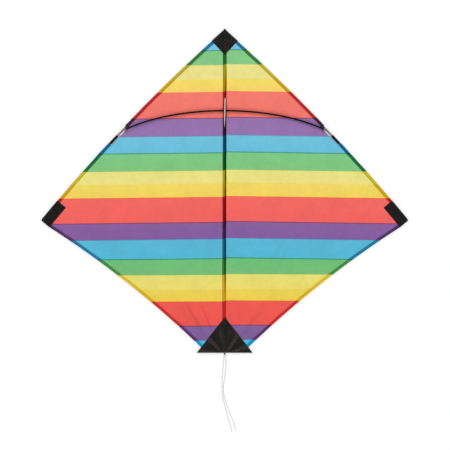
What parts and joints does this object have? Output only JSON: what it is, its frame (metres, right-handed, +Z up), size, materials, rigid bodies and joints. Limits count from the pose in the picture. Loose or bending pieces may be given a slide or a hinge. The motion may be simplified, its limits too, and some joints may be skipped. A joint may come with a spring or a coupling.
{
  "type": "diamond kite",
  "caption": "Diamond-shaped single-line family kite with striped cloth sail, leading-edge rods, spine, bowed spreader, black nose, tip and tail patches, and two loose tail ties.",
  "frame": {"origin": "on the surface that the kite lies on, under the middle of its outline (without the tail ties), spreader side up", "axes": "+Y along the spine towards the nose, +X to the right wing tip seen from the spreader side, +Z up, away from the surface"},
  "size_m": [1, 1.0947, 0.0147],
  "materials": {
    "striped_sail_cloth": "satin",
    "hemmed_sail_cloth": "satin",
    "black_patch_cloth": "matte",
    "glass_fibre_rod": "gloss",
    "clear_pvc": "satin",
    "black_vinyl": "satin",
    "black_rubber": "satin",
    "white_tape": "satin",
    "white_cord": "matte",
    "black_cord": "matte"
  },
  "bodies": {
    "spine": {"spine_rod": "glass_fibre_rod", "spine_sleeve": "hemmed_sail_cloth", "spine_cap_nose": "black_vinyl", "spine_cap_tail": "black_vinyl", "nose_patch": "black_patch_cloth", "tail_patch": "black_patch_cloth", "spreader_rod": "glass_fibre_rod", "keeper_loop": "white_tape", "tail_tie_knot": "black_cord", "tail_tie_left": "white_cord", "tail_tie_right": "white_cord"},
    "left_wing": {"sail_panel_left": "striped_sail_cloth", "leading_edge_rod_left": "glass_fibre_rod", "leading_edge_sleeve_upper_left": "hemmed_sail_cloth", "leading_edge_sleeve_lower_left": "hemmed_sail_cloth", "leading_edge_cap_nose_left": "black_vinyl", "leading_edge_cap_tip_left": "black_vinyl", "trailing_edge_hem_left": "hemmed_sail_cloth", "tip_pocket_left": "black_patch_cloth", "spreader_connector_left": "clear_pvc", "connector_stopper_left": "black_rubber", "spreader_cap_left": "black_vinyl"},
    "right_wing": {"sail_panel_right": "striped_sail_cloth", "leading_edge_rod_right": "glass_fibre_rod", "leading_edge_sleeve_upper_right": "hemmed_sail_cloth", "leading_edge_sleeve_lower_right": "hemmed_sail_cloth", "leading_edge_cap_nose_right": "black_vinyl", "leading_edge_cap_tip_right": "black_vinyl", "trailing_edge_hem_right": "hemmed_sail_cloth", "tip_pocket_right": "black_patch_cloth", "spreader_connector_right": "clear_pvc", "connector_stopper_right": "black_rubber", "spreader_cap_right": "black_vinyl"}
  },
  "joints": [
    {"name": "left_wing_fold", "type": "hinge", "parent": "spine", "child": "left_wing", "pos_m": [0, 0, 0.0044], "axis": [0, 1, 0], "range_deg": [0, 20], "stiffness_Nm_per_rad": 0.3, "deforming": ["spreader_rod", "nose_patch", "tail_patch"]},
    {"name": "right_wing_fold", "type": "hinge", "parent": "spine", "child": "right_wing", "pos_m": [0, 0, 0.0044], "axis": [0, -1, 0], "range_deg": [0, 20], "stiffness_Nm_per_rad": 0.3, "deforming": ["spreader_rod", "nose_patch", "tail_patch"]}
  ]
}
